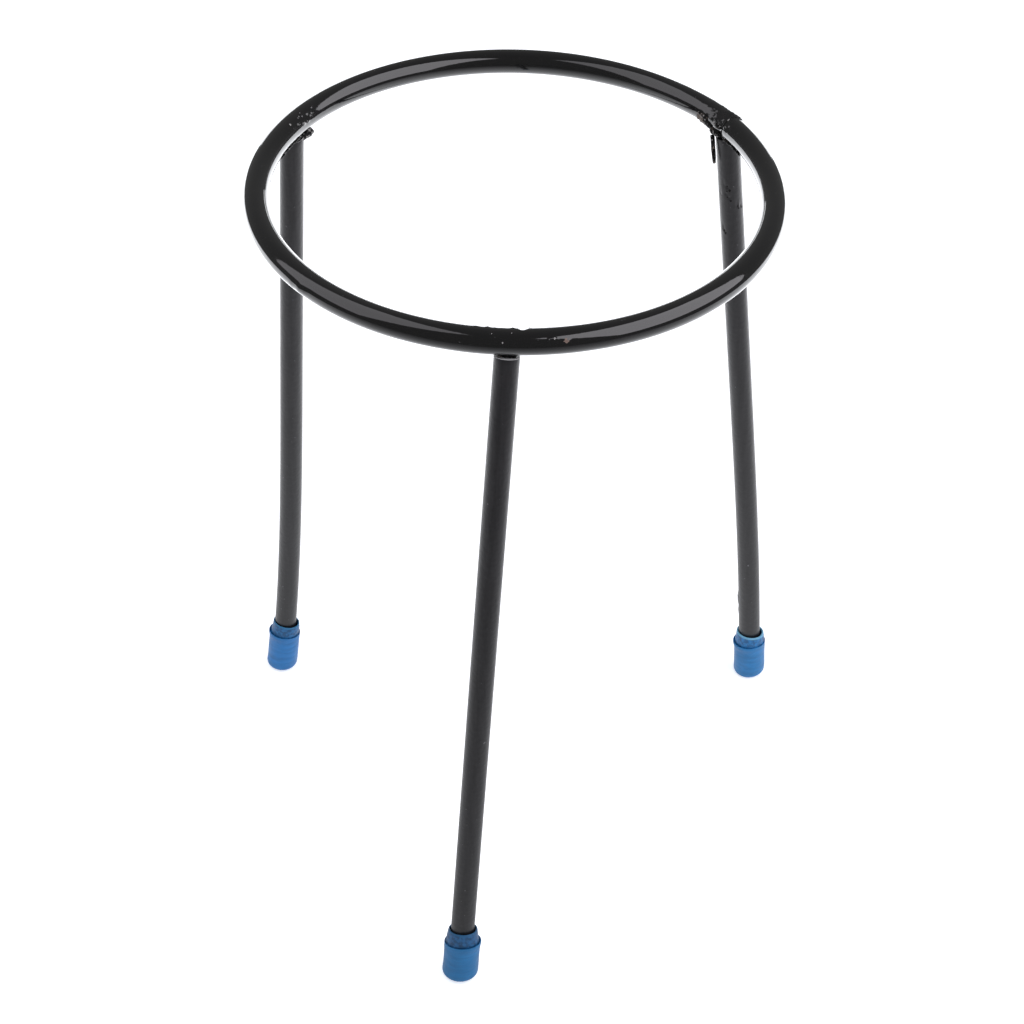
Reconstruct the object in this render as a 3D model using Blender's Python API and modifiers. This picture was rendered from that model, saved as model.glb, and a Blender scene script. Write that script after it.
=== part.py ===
"""Lab tripod stand: a black steel ring welded on three rod legs with blue foot caps.

The ring is a round rod bent to a circle and closed by a weld above the right
rear leg. Each leg is a straight rod, cut square and welded under the ring, and
its foot is pushed into a soft moulded cap. Lengths are in metres, +Z is up, and
the origin is on the floor at the middle of the stand's outline.
"""
import math
from collections import namedtuple

import bmesh
import bpy
from mathutils import Matrix, Vector

# Ring: one bent rod
RING_RADIUS = 0.0495            # to the middle of the rod
RING_ROD_DIAMETER = 0.0050
RING_HEIGHT = 0.1499            # floor to the middle of the rod
SEAM_ANGLE = math.radians(30.4)
SEAM_STEP = 0.00045             # one end of the rod stands out this far
SEAM_STEP_ANGLE = math.radians(24)
SEAM_BEAD_THICKNESS = 0.0004
RING_SEGMENTS = 96

# Legs: three straight rods, bent a little near the floor
LEG_ROD_DIAMETER = 0.0048
FRONT_HEAD_ANGLE = math.radians(-90.9)
FRONT_FOOT_ANGLE = math.radians(-97.1)
FRONT_FOOT_REACH_SHARE = 1.2828     # ring axis to the sole, share of the ring's radius
REAR_LEFT_HEAD_ANGLE = math.radians(153.8)
REAR_LEFT_FOOT_ANGLE = math.radians(148.1)
REAR_LEFT_FOOT_REACH_SHARE = 1.2242
REAR_LEFT_TOE_BEND = (-0.0021, -0.0023)
REAR_RIGHT_HEAD_ANGLE = math.radians(31.4)
REAR_RIGHT_FOOT_ANGLE = math.radians(30.6)
REAR_RIGHT_FOOT_REACH_SHARE = 1.3212
REAR_RIGHT_TOE_BEND = (-0.0017, 0.0)
BEND_START_SHARE = 0.45         # the bend begins this far down the leg
BEND_POWER = 3
LEG_STEPS = 12

# Foot caps: one moulding each, a thin collar that rises out of a thicker cup
CAP_HEIGHT = 0.0131             # sole to the collar's rim
CAP_CUP_HEIGHT = 0.0094         # sole to the cup's lip
CAP_CUP_RADIUS = 0.00364
CAP_LIP_RADIUS = 0.00385
CAP_LIP_THICKNESS = 0.00030
CAP_LIP_DEPTH = 0.00110         # how far down the lip's bulge runs
CAP_GROOVE_WIDTH = 0.00025
CAP_GROOVE_DEPTH = 0.00060
CAP_RIM_WALL = 0.00025
CAP_BORE_CLEARANCE = 0.00010
CAP_SOLE_THICKNESS = 0.00180
CAP_SOLE_CROWN_RADIUS = 0.0090
CAP_SOLE_EDGE_RADIUS = 0.0015
SOLE_FLATTENING = 0.00010       # how much of the crown is worn flat

# Room between neighbouring pieces
JOINT_GAP = 0.0003

# Weld metal: a pad between the ring and the end of each leg, and lumps beside it.
# A row gives a lump's place (out from the rod's middle line, round the ring, up),
# its three half sizes the same way, and how far it leans round the ring for each
# unit up. Places and sizes are shares of the leg's radius, and the place counts
# from the middle of the leg's end.
WELD_THICKNESS = 0.0003
FRONT_WELD_SHARES = (
    (0.00, 0.00, 0.33, 0.88, 0.95, 0.42, 0.0),
)
REAR_LEFT_WELD_SHARES = (
    (0.00, 0.00, 0.33, 0.88, 0.95, 0.42, 0.0),
    (-0.56, -1.28, 0.18, 0.28, 0.92, 0.24, 0.0),
)
REAR_RIGHT_WELD_SHARES = (
    (0.00, 0.00, 0.33, 0.88, 0.95, 0.42, 0.0),
    (-0.50, 0.94, 0.30, 0.50, 0.62, 0.44, 0.0),
    (-0.80, 1.37, 0.66, 0.36, 0.50, 0.44, 0.0),
    (-1.02, 1.78, 1.18, 0.32, 0.60, 0.40, 0.0),
    (-1.02, 2.48, 1.56, 0.32, 0.80, 0.28, 0.0),
    (-1.00, 3.28, 1.66, 0.28, 0.80, 0.22, 0.0),
    (-1.02, 0.66, -0.90, 0.15, 0.17, 1.30, 0.19),
)
WELD_LUMP_SIDES = 20
WELD_LUMP_RINGS = 12

ROD_BEVEL_RESOLUTION = 8        # 20 sides
CAP_SIDES = 28
EDGE_ARC_STEPS = 5
CROWN_ARC_STEPS = 4
MERGE_DISTANCE = 0.000001
SHARP_ANGLE = math.radians(40)
CUTTER_OVERRUN = 0.010

ENAMEL_COLOUR = (0.010, 0.010, 0.011, 1.0)
PAINT_COLOUR = (0.022, 0.022, 0.025, 1.0)
WELD_COLOUR = (0.014, 0.014, 0.014, 1.0)
CAP_COLOUR = (0.055, 0.190, 0.470, 1.0)

Leg = namedtuple("Leg", "name head sole toe_bend")


def around(angle, radius, height=0.0):
    """Point at an angle and a radius from the ring's axis."""
    return Vector((radius * math.cos(angle), radius * math.sin(angle), height))


def clear_scene():
    for thing in list(bpy.data.objects):
        bpy.data.objects.remove(thing, do_unlink=True)


def new_collection(name):
    collection = bpy.data.collections.new(name)
    bpy.context.scene.collection.children.link(collection)
    return collection


def new_material(name, colour, roughness):
    material = bpy.data.materials.new(name)
    material.use_nodes = True
    shader = material.node_tree.nodes["Principled BSDF"]
    shader.inputs["Base Color"].default_value = colour
    shader.inputs["Roughness"].default_value = roughness
    shader.inputs["Metallic"].default_value = 0.0
    material.diffuse_color = colour
    return material


def mesh_object(name, mesh, collection):
    thing = bpy.data.objects.new(name, mesh)
    collection.objects.link(thing)
    return thing


def settle(thing):
    """Turn a curve or a modified mesh into a plain, smooth-shaded mesh object."""
    name, collection = thing.name, thing.users_collection[0]
    evaluated = thing.evaluated_get(bpy.context.evaluated_depsgraph_get())
    mesh = bpy.data.meshes.new_from_object(evaluated)
    place = thing.matrix_world.copy()
    bpy.data.objects.remove(thing, do_unlink=True)
    shape = bmesh.new()
    shape.from_mesh(mesh)
    bmesh.ops.remove_doubles(shape, verts=shape.verts, dist=MERGE_DISTANCE)
    shape.to_mesh(mesh)
    shape.free()
    mesh.name = name
    mesh.shade_smooth()
    mesh.set_sharp_from_angle(angle=SHARP_ANGLE)
    settled = mesh_object(name, mesh, collection)
    settled.matrix_world = place
    return settled


def rod(name, points, radius, collection, twist="MINIMUM", closed=False):
    """A round rod along a row of points, closed to a ring or with flat ends."""
    curve = bpy.data.curves.new(name, "CURVE")
    curve.dimensions = "3D"
    curve.twist_mode = twist
    curve.bevel_depth = radius
    curve.bevel_resolution = ROD_BEVEL_RESOLUTION
    curve.use_fill_caps = True
    spline = curve.splines.new("POLY")
    spline.points.add(len(points) - 1)
    spline.use_cyclic_u = closed
    for place, point in zip(spline.points, points):
        place.co = (*point, 1.0)
    thing = bpy.data.objects.new(name, curve)
    collection.objects.link(thing)
    bpy.context.view_layer.update()
    return settle(thing)


def as_cutter(thing):
    thing.hide_render = True
    thing.display_type = "WIRE"
    return thing


def boolean(thing, other, operation):
    modifier = thing.modifiers.new(f"{operation.lower()} {other.name}", "BOOLEAN")
    modifier.operation = operation
    modifier.solver = "EXACT"
    modifier.object = other


def footprint_middle(feet):
    """Middle of the stand's outline seen from above, from the ring's axis."""
    outer = RING_RADIUS + RING_ROD_DIAMETER / 2
    middles = []
    for axis in range(2):
        low = min([foot[axis] - CAP_CUP_RADIUS for foot in feet] + [-outer])
        high = max([foot[axis] + CAP_CUP_RADIUS for foot in feet] + [outer])
        middles.append((low + high) / 2)
    return Vector((*middles, 0.0))


def plan_legs():
    """Where each leg starts and ends, and where the ring's axis is."""
    rows = (
        ("front", FRONT_HEAD_ANGLE, FRONT_FOOT_ANGLE, FRONT_FOOT_REACH_SHARE, (0.0, 0.0)),
        ("rear_left", REAR_LEFT_HEAD_ANGLE, REAR_LEFT_FOOT_ANGLE,
         REAR_LEFT_FOOT_REACH_SHARE, REAR_LEFT_TOE_BEND),
        ("rear_right", REAR_RIGHT_HEAD_ANGLE, REAR_RIGHT_FOOT_ANGLE,
         REAR_RIGHT_FOOT_REACH_SHARE, REAR_RIGHT_TOE_BEND),
    )
    feet = [around(foot_angle, share * RING_RADIUS) for _, _, foot_angle, share, _ in rows]
    ring_axis = -footprint_middle(feet)
    underside = RING_HEIGHT - RING_ROD_DIAMETER / 2
    head_height = underside - JOINT_GAP - WELD_THICKNESS - JOINT_GAP
    legs = []
    for (name, head_angle, _, _, toe_bend), foot in zip(rows, feet):
        head = ring_axis + around(head_angle, RING_RADIUS, head_height)
        sole = ring_axis + foot + Vector((0.0, 0.0, -SOLE_FLATTENING))
        legs.append(Leg(name, head, sole, Vector((*toe_bend, 0.0))))
    return ring_axis, legs


def leg_point(leg, share):
    """Point of a leg's middle line, a share of the way from its head to its sole."""
    straight_end = leg.sole - leg.toe_bend
    bend = max(0.0, (share - BEND_START_SHARE) / (1 - BEND_START_SHARE))
    return leg.head.lerp(straight_end, share) + leg.toe_bend * bend ** BEND_POWER


def mouth_share(leg):
    """How far down the leg its foot cap's rim is."""
    return 1 - CAP_HEIGHT / (leg.head - leg.sole).length


def foot_axis(leg):
    """Direction of the foot cap, from its sole up to its rim."""
    return (leg_point(leg, mouth_share(leg)) - leg.sole).normalized()


def ring_points(ring_axis):
    """The rod runs once round, and its last stretch stands out at the seam."""
    middle = ring_axis + Vector((0.0, 0.0, RING_HEIGHT))
    half_gap = (SEAM_BEAD_THICKNESS / 2 + JOINT_GAP) / RING_RADIUS
    sweep = 2 * math.pi - 2 * half_gap
    points = []
    for step in range(RING_SEGMENTS + 1):
        turned = sweep * step / RING_SEGMENTS
        rise = max(0.0, 1 - turned / SEAM_STEP_ANGLE)
        radius = RING_RADIUS + SEAM_STEP * rise ** 2
        points.append(middle + around(SEAM_ANGLE + half_gap + turned, radius))
    return points


def make_ring(ring_axis, collection):
    return rod("ring", ring_points(ring_axis), RING_ROD_DIAMETER / 2, collection, twist="Z_UP")


def make_seam_bead(ring_axis, collection):
    """A thin disc of weld metal between the two ends of the ring's rod."""
    half = around(SEAM_ANGLE + math.pi / 2, SEAM_BEAD_THICKNESS / 2)
    middle = ring_axis + around(SEAM_ANGLE, RING_RADIUS + SEAM_STEP / 2, RING_HEIGHT)
    return rod("ring_seam_weld", [middle - half, middle + half],
               RING_ROD_DIAMETER / 2, collection, twist="Z_UP")


def make_leg(leg, collection):
    shares = [mouth_share(leg) * step / LEG_STEPS for step in range(LEG_STEPS + 1)]
    points = [leg_point(leg, share) for share in shares]
    end = CAP_SOLE_THICKNESS + JOINT_GAP
    points.append(leg.sole + foot_axis(leg) * end)
    return rod(f"leg_{leg.name}", points, LEG_ROD_DIAMETER / 2, collection)


def cap_profile():
    """Half section of a foot cap: up the bore, over the rim, down to the sole."""
    bore = LEG_ROD_DIAMETER / 2 + CAP_BORE_CLEARANCE
    rim = bore + CAP_RIM_WALL
    lip_inner = CAP_LIP_RADIUS - CAP_LIP_THICKNESS
    collar_foot = lip_inner - CAP_GROOVE_WIDTH
    groove_floor = CAP_CUP_HEIGHT - CAP_GROOVE_DEPTH
    rim_round = CAP_RIM_WALL / 2
    lip_round = CAP_LIP_THICKNESS / 2
    points = [
        (0.0, CAP_SOLE_THICKNESS),
        (bore, CAP_SOLE_THICKNESS),
        (bore, CAP_HEIGHT - rim_round),
        (bore + rim_round, CAP_HEIGHT),
        (rim, CAP_HEIGHT - rim_round),
        ((rim + collar_foot) / 2 + rim_round, (CAP_HEIGHT + CAP_CUP_HEIGHT) / 2),
        (collar_foot, CAP_CUP_HEIGHT),
        (collar_foot, groove_floor),
        (lip_inner, groove_floor),
        (lip_inner, CAP_CUP_HEIGHT - lip_round),
        (lip_inner + lip_round, CAP_CUP_HEIGHT),
        (CAP_LIP_RADIUS, CAP_CUP_HEIGHT - lip_round),
        ((CAP_LIP_RADIUS + CAP_CUP_RADIUS) / 2, CAP_CUP_HEIGHT - CAP_LIP_DEPTH),
    ]
    # The sole's edge is an arc that meets the wall and the crown smoothly.
    edge_x = CAP_CUP_RADIUS - CAP_SOLE_EDGE_RADIUS
    to_crown = CAP_SOLE_CROWN_RADIUS - CAP_SOLE_EDGE_RADIUS
    edge_z = CAP_SOLE_CROWN_RADIUS - math.sqrt(to_crown ** 2 - edge_x ** 2)
    meeting = math.asin(edge_x / to_crown)
    for step in range(EDGE_ARC_STEPS + 1):
        turn = (math.pi / 2 - meeting) * step / EDGE_ARC_STEPS
        points.append((edge_x + CAP_SOLE_EDGE_RADIUS * math.cos(turn),
                       edge_z - CAP_SOLE_EDGE_RADIUS * math.sin(turn)))
    for step in range(1, CROWN_ARC_STEPS + 1):
        turn = meeting * (1 - step / CROWN_ARC_STEPS)
        points.append((CAP_SOLE_CROWN_RADIUS * math.sin(turn),
                       CAP_SOLE_CROWN_RADIUS * (1 - math.cos(turn))))
    return points


def make_cap(leg, floor, collection):
    """The turned cap stands on its leg's axis, and the floor flattens its crown."""
    name = f"foot_cap_{leg.name}"
    profile = cap_profile()
    mesh = bpy.data.meshes.new(name)
    mesh.from_pydata([(x, 0.0, z) for x, z in profile],
                     [(i, i + 1) for i in range(len(profile) - 1)], [])
    cap = mesh_object(name, mesh, collection)
    screw = cap.modifiers.new("turned", "SCREW")
    screw.steps = CAP_SIDES
    screw.render_steps = CAP_SIDES
    screw.use_merge_vertices = True
    screw.merge_threshold = MERGE_DISTANCE
    turn = Vector((0.0, 0.0, 1.0)).rotation_difference(foot_axis(leg))
    cap.matrix_world = Matrix.Translation(leg.sole) @ turn.to_matrix().to_4x4()
    boolean(cap, floor, "DIFFERENCE")
    bpy.context.view_layer.update()
    return settle(cap)


def make_floor_cutter(collection):
    """A block whose top is the floor."""
    size = 2 * (1 + REAR_RIGHT_FOOT_REACH_SHARE) * RING_RADIUS
    mesh = bpy.data.meshes.new("floor")
    shape = bmesh.new()
    bmesh.ops.create_cube(shape, size=size)
    bmesh.ops.translate(shape, verts=shape.verts, vec=(0.0, 0.0, -size / 2))
    shape.to_mesh(mesh)
    shape.free()
    return as_cutter(mesh_object("floor", mesh, collection))


def make_ring_cutter(ring_axis, collection):
    """The ring's rod, closed and fatter by the gap to the weld metal."""
    return as_cutter(rod("ring room", ring_points(ring_axis),
                         RING_ROD_DIAMETER / 2 + JOINT_GAP, collection,
                         twist="Z_UP", closed=True))


def make_lump(name, leg, ring_axis, shares, collection):
    """One lump of weld metal: a ball stretched along the ring's own directions."""
    unit = LEG_ROD_DIAMETER / 2
    places, sizes, lean = shares[:3], shares[3:6], shares[6]
    arm = leg.head - ring_axis
    angle = math.atan2(arm.y, arm.x) + places[1] * unit / RING_RADIUS
    out = around(angle, 1)
    up = Vector((0.0, 0.0, 1.0))
    along = up.cross(out)
    middle = ring_axis + around(angle, RING_RADIUS + places[0] * unit, arm.z + places[2] * unit)
    rise = (up + along * lean) * sizes[2]
    frame = Matrix((out * sizes[0], along * sizes[1], rise)).transposed()
    mesh = bpy.data.meshes.new(name)
    shape = bmesh.new()
    bmesh.ops.create_uvsphere(shape, u_segments=WELD_LUMP_SIDES,
                              v_segments=WELD_LUMP_RINGS, radius=unit)
    bmesh.ops.transform(shape, matrix=Matrix.Translation(middle) @ frame.to_4x4(),
                        verts=shape.verts)
    shape.to_mesh(mesh)
    shape.free()
    return mesh_object(name, mesh, collection)


def make_weld(leg, ring_axis, shares, ring_room, parts, cutters):
    """Lumps joined to one bead, then cut to sit round the ring and the leg."""
    name = f"weld_{leg.name}"
    bead = make_lump(name, leg, ring_axis, shares[0], parts)
    for number, row in enumerate(shares[1:], 2):
        lump = as_cutter(make_lump(f"{name} lump {number}", leg, ring_axis, row, cutters))
        boolean(bead, lump, "UNION")
    down = (leg_point(leg, BEND_START_SHARE) - leg.head).normalized()
    leg_room = as_cutter(rod(f"{name} leg room",
                             [leg.head - down * JOINT_GAP, leg.head + down * CUTTER_OVERRUN],
                             LEG_ROD_DIAMETER / 2 + JOINT_GAP, cutters))
    boolean(bead, ring_room, "DIFFERENCE")
    boolean(bead, leg_room, "DIFFERENCE")
    bpy.context.view_layer.update()
    return settle(bead)


def dress(things, material):
    for thing in things:
        thing.data.materials.clear()
        thing.data.materials.append(material)


def main():
    clear_scene()
    parts = new_collection("lab_tripod_stand")
    cutters = new_collection("cutters")
    ring_axis, legs = plan_legs()
    floor = make_floor_cutter(cutters)
    ring_room = make_ring_cutter(ring_axis, cutters)
    welds = (FRONT_WELD_SHARES, REAR_LEFT_WELD_SHARES, REAR_RIGHT_WELD_SHARES)

    dress([make_ring(ring_axis, parts)], new_material("black enamel", ENAMEL_COLOUR, 0.12))
    dress([make_leg(leg, parts) for leg in legs],
          new_material("satin black paint", PAINT_COLOUR, 0.42))
    beads = [make_weld(leg, ring_axis, shares, ring_room, parts, cutters)
             for leg, shares in zip(legs, welds)]
    beads.append(make_seam_bead(ring_axis, parts))
    dress(beads, new_material("painted weld metal", WELD_COLOUR, 0.45))
    dress([make_cap(leg, floor, parts) for leg in legs],
          new_material("blue soft plastic", CAP_COLOUR, 0.35))


main()
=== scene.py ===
import math

import bpy
from mathutils import Matrix, Vector


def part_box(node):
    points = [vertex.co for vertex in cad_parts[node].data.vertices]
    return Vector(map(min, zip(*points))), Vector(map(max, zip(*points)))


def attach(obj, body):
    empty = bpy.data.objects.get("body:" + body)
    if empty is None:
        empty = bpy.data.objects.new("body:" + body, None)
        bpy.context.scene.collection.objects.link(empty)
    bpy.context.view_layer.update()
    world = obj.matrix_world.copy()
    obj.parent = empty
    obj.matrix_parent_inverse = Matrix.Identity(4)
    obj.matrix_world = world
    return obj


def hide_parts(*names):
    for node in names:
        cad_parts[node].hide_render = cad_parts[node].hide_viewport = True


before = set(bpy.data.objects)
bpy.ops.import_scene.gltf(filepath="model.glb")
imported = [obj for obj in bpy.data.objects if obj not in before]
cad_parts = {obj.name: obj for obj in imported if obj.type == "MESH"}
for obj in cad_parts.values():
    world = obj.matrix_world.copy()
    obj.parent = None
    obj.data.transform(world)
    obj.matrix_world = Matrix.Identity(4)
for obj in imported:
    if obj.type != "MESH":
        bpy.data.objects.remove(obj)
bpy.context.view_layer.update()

ring_low, ring_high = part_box("ring")
ring_middle = (ring_low + ring_high) / 2

# The stand is on a plain white table in a dim room, between two wide soft lamps, and
# the camera looks down on it from the front, as in the photograph.
SENSOR_WIDTH_MM = 36
LENS_MM = 105.561
NEAREST_SEEN = 0.01
CAMERA_FROM_RING = Vector((0.0, -0.48762, 0.31012))
CAMERA_TURN = (51.45318, -1.05157, 0.73495)
LAMP_COLOUR = (0.97, 0.95, 1.0)
WATTS_PER_AREA = 4
scene = bpy.context.scene
scene.view_settings.view_transform = "Standard"
eye = bpy.data.cameras.new("camera")
eye.sensor_width = SENSOR_WIDTH_MM
eye.lens = LENS_MM
eye.clip_start = NEAREST_SEEN
camera = bpy.data.objects.new("camera", eye)
camera.location = ring_middle + CAMERA_FROM_RING
camera.rotation_euler = [math.radians(turn) for turn in CAMERA_TURN]
scene.collection.objects.link(camera)
scene.camera = camera


def soft_lamp(name, azimuth, elevation, distance, width, height, radiance):
    """A flat lamp that faces the ring from a direction given in degrees."""
    turn, rise = math.radians(azimuth), math.radians(elevation)
    direction = Vector((math.cos(rise) * math.cos(turn), math.cos(rise) * math.sin(turn),
                        math.sin(rise)))
    shine = bpy.data.lights.new(name, "AREA")
    shine.shape = "RECTANGLE"
    shine.size, shine.size_y = width, height
    shine.energy = WATTS_PER_AREA * width * height * radiance
    shine.color = LAMP_COLOUR
    lamp = bpy.data.objects.new(name, shine)
    lamp.location = ring_middle + direction * distance
    lamp.rotation_euler = direction.to_track_quat("Z", "Y").to_euler()
    lamp.visible_camera = False
    scene.collection.objects.link(lamp)


soft_lamp("lamp_right", azimuth=-20, elevation=39, distance=0.9, width=1.15, height=1.10,
          radiance=1.30)
soft_lamp("lamp_left", azimuth=-172, elevation=42.5, distance=0.9, width=0.86, height=1.13,
          radiance=0.70)


def joined(tree, kind, wires=(), **settings):
    """A new shader node with its settings, and its inputs wired or set by name."""
    node = tree.nodes.new(kind)
    for name, value in settings.items():
        setattr(node, name, value)
    for socket, source in dict(wires).items():
        if isinstance(source, bpy.types.NodeSocket):
            tree.links.new(source, node.inputs[socket])
        else:
            node.inputs[socket].default_value = source
    return node


def ranged(tree, value, start=0.0, end=1.0, low=0.0, high=1.0):
    """A value's span from start to end, made to run from low to high."""
    return joined(tree, "ShaderNodeMapRange", {
        0: value, 1: start, 2: end, 3: low, 4: high}).outputs[0]


def chosen(tree, mask, under, over):
    """The number over counts where the mask is 1."""
    return joined(tree, "ShaderNodeMix", {0: mask, 2: under, 3: over}).outputs[0]


def noise(tree, where, scale, detail=2.0):
    """A noise of a grain, by place."""
    return joined(tree, "ShaderNodeTexNoise", {
        "Vector": where, "Scale": scale, "Detail": detail}).outputs[0]


# How bright the room's walls are in front and behind, and its fill light.
WALL_FRONT, WALL_BEHIND = 0.10, 0.15
WALL_SPAN = (-0.2, 0.9)
ROOM_FILL = 0.45
room = bpy.data.worlds.new("dim_room")
scene.world = room
room.use_nodes = True
tree = room.node_tree
tree.nodes.clear()
where = joined(tree, "ShaderNodeTexCoord")
parts = joined(tree, "ShaderNodeSeparateXYZ", {0: where.outputs["Generated"]})
wall = ranged(tree, parts.outputs["Y"], *WALL_SPAN, WALL_FRONT, WALL_BEHIND)
path = joined(tree, "ShaderNodeLightPath")
fill = chosen(tree, path.outputs["Is Glossy Ray"], ROOM_FILL, wall)
seen = chosen(tree, path.outputs["Is Camera Ray"], fill, 1.0)
glow = joined(tree, "ShaderNodeBackground", {"Color": (1, 1, 1, 1), "Strength": seen})
joined(tree, "ShaderNodeOutputWorld", {"Surface": glow.outputs[0]})

TABLE_LENGTH, TABLE_MIDDLE = 1.49, 0.325
PAPER_HEIGHT, PAPER_AT = 0.25, 1.07
bpy.ops.object.select_all(action="DESELECT")
bpy.ops.mesh.primitive_plane_add(size=1.0)
table = bpy.context.object
table.name = "white_table"
bpy.ops.object.mode_set(mode="EDIT")
bpy.ops.transform.resize(value=(1.0, TABLE_LENGTH, 1.0))
bpy.ops.transform.translate(value=(0.0, TABLE_MIDDLE, 0.0))
bpy.ops.object.mode_set(mode="OBJECT")
bpy.ops.mesh.primitive_plane_add(size=1.0)
sweep = bpy.context.object
sweep.name = "white_paper_behind"
bpy.ops.object.mode_set(mode="EDIT")
bpy.ops.transform.rotate(value=math.pi / 2, orient_axis="X", center_override=(0.0, 0.0, 0.0))
bpy.ops.transform.resize(value=(1.0, 1.0, PAPER_HEIGHT))
bpy.ops.transform.translate(value=(0.0, PAPER_AT, PAPER_HEIGHT / 2))
bpy.ops.object.mode_set(mode="OBJECT")
sweep.visible_camera = False
sweep.visible_diffuse = False
sweep.visible_shadow = False

# Seen in reflections, the paper's colour and glow are painted darker towards the table's front
# edge, a painted shade, and it mirrors white.
PAPER_FADE = (-0.40, 0.20)
PAPER_FADE_POWER = 2.2
PAPER_MIRRORED = (0.12, 1.35)
PAPER_WHITE = (0.89, 0.91)
PAPER_FIBRES = 900.0
PAPER_GLOW = 0.6
GLOW_COLOUR = (0.93, 0.96, 1.0, 1.0)
paper = bpy.data.materials.new("white_paper")
paper.use_nodes = True
tree = paper.node_tree
tree.nodes.clear()
path = joined(tree, "ShaderNodeLightPath")
mirrored = joined(tree, "ShaderNodeMath", {0: path.outputs["Is Glossy Ray"],
                                           1: path.outputs["Is Transmission Ray"]},
                  operation="MAXIMUM").outputs[0]
where = joined(tree, "ShaderNodeTexCoord")
parts = joined(tree, "ShaderNodeSeparateXYZ", {0: where.outputs["Object"]})
back = ranged(tree, parts.outputs["Y"], *PAPER_FADE)
back = joined(tree, "ShaderNodeMath", {0: back, 1: PAPER_FADE_POWER}, operation="POWER")
shade = ranged(tree, back.outputs[0], 0.0, 1.0, *PAPER_MIRRORED)
white = ranged(tree, noise(tree, where.outputs["Object"], PAPER_FIBRES), 0.0, 1.0, *PAPER_WHITE)
dimmed = joined(tree, "ShaderNodeMath", {0: white, 1: shade}, operation="MULTIPLY")
lit_colour = chosen(tree, mirrored, white, dimmed.outputs[0])
lit = joined(tree, "ShaderNodeBsdfDiffuse", {"Color": lit_colour})
own = joined(tree, "ShaderNodeMath", {0: path.outputs["Is Camera Ray"], 1: PAPER_GLOW},
             operation="MULTIPLY")
own = chosen(tree, mirrored, own.outputs[0], shade)
glow = joined(tree, "ShaderNodeEmission", {"Color": GLOW_COLOUR, "Strength": own})
both = joined(tree, "ShaderNodeAddShader", {0: lit.outputs[0], 1: glow.outputs[0]})
joined(tree, "ShaderNodeOutputMaterial", {"Surface": both.outputs[0]})
table.data.materials.append(paper)
sweep.data.materials.append(paper)

# The ring is one round steel rod bent to a circle under thick glossy black enamel. Its
# two ends meet over the right rear leg, one standing out a little from the other, and
# the enamel is lumpy with spatter where the legs are welded on.
MM = 0.001
RING_RADIUS = 0.0495
ROD_RADIUS = 0.0025
SEAM_ANGLE = 30.4
SEAM_STEP = 0.00045
SEAM_STEP_ANGLE = 24.0
SEAM_ROUNDING_ANGLE = 1.1
RING_SEGMENTS = 432
ROD_SEGMENTS = 40
ROUGH_CUTS = 3
JUST_BEFORE_SEAM = 0.01


def on_ring(ring_angle, rod_angle, lift=0.0):
    """Degrees round the ring, and round its rod from outermost over the top."""
    turn, tilt = math.radians(ring_angle), math.radians(rod_angle)
    reach = RING_RADIUS + (ROD_RADIUS + lift) * math.cos(tilt)
    return ring_middle + Vector((reach * math.cos(turn), reach * math.sin(turn),
                                 (ROD_RADIUS + lift) * math.sin(tilt)))


def ring_angle_at(place):
    """Degrees round the ring where a place is."""
    arm = place - ring_middle
    return math.degrees(math.atan2(arm.y, arm.x)) % 360


def deselect(piece):
    """Nothing of the piece stays selected, and it is in object mode."""
    bpy.ops.object.mode_set(mode="EDIT")
    bpy.ops.mesh.select_mode(type="FACE")
    bpy.ops.mesh.select_all(action="DESELECT")
    bpy.ops.object.mode_set(mode="OBJECT")


def pull(piece, place, move, reach):
    """Moves the nearest point of the piece, and softly what is within reach of it."""
    nearest = min(piece.data.vertices, key=lambda point: (point.co - place).length_squared).index
    deselect(piece)
    piece.data.vertices[nearest].select = True
    bpy.ops.object.mode_set(mode="EDIT")
    bpy.ops.mesh.select_mode(type="VERT")
    bpy.ops.transform.translate(value=move, use_proportional_edit=True,
                                proportional_edit_falloff="SMOOTH", proportional_size=reach)
    bpy.ops.object.mode_set(mode="OBJECT")


def roughen(piece, depth, grain, weights=None):
    """Lumps of a size, in or out by up to half the depth, where the weights say."""
    lumps = bpy.data.textures.new(f"{piece.name}_lumps", "CLOUDS")
    lumps.noise_scale = grain
    push = piece.modifiers.new("lumps", "DISPLACE")
    push.texture = lumps
    push.texture_coords = "LOCAL"
    push.strength = depth
    push.mid_level = 0.5
    if weights:
        group = piece.vertex_groups.new(name="rough")
        for index, weight in weights.items():
            group.add([index], weight, "REPLACE")
        push.vertex_group = group.name
    bpy.ops.object.modifier_apply(modifier=push.name)
    if weights:
        piece.vertex_groups.clear()


bpy.ops.object.select_all(action="DESELECT")
bpy.ops.mesh.primitive_torus_add(
    align="WORLD", location=ring_middle, rotation=(0.0, 0.0, math.radians(SEAM_ANGLE)),
    major_segments=RING_SEGMENTS, minor_segments=ROD_SEGMENTS, major_radius=RING_RADIUS,
    minor_radius=ROD_RADIUS)
ring = bpy.context.object
ring.name = "enamelled_ring"
bpy.ops.object.transform_apply(location=True, rotation=True)

# Stretches of the ring, in degrees, that are cut finer for their lumps.
ROUGH_STRETCHES = ((25.0, 47.0), (145.0, 161.0), (260.0, 284.0))
deselect(ring)
for face in ring.data.polygons:
    angle = ring_angle_at(face.center)
    face.select = any(start < angle < end for start, end in ROUGH_STRETCHES)
bpy.ops.object.mode_set(mode="EDIT")
bpy.ops.mesh.subdivide(number_cuts=ROUGH_CUTS)
bpy.ops.object.mode_set(mode="OBJECT")


def bump_weight(angle, middle, half):
    """1 at the middle of a stretch of degrees, falling to 0 at its ends."""
    return max(0.0, 1 - (abs((angle - middle + 180) % 360 - 180) / half) ** 2)


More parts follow.
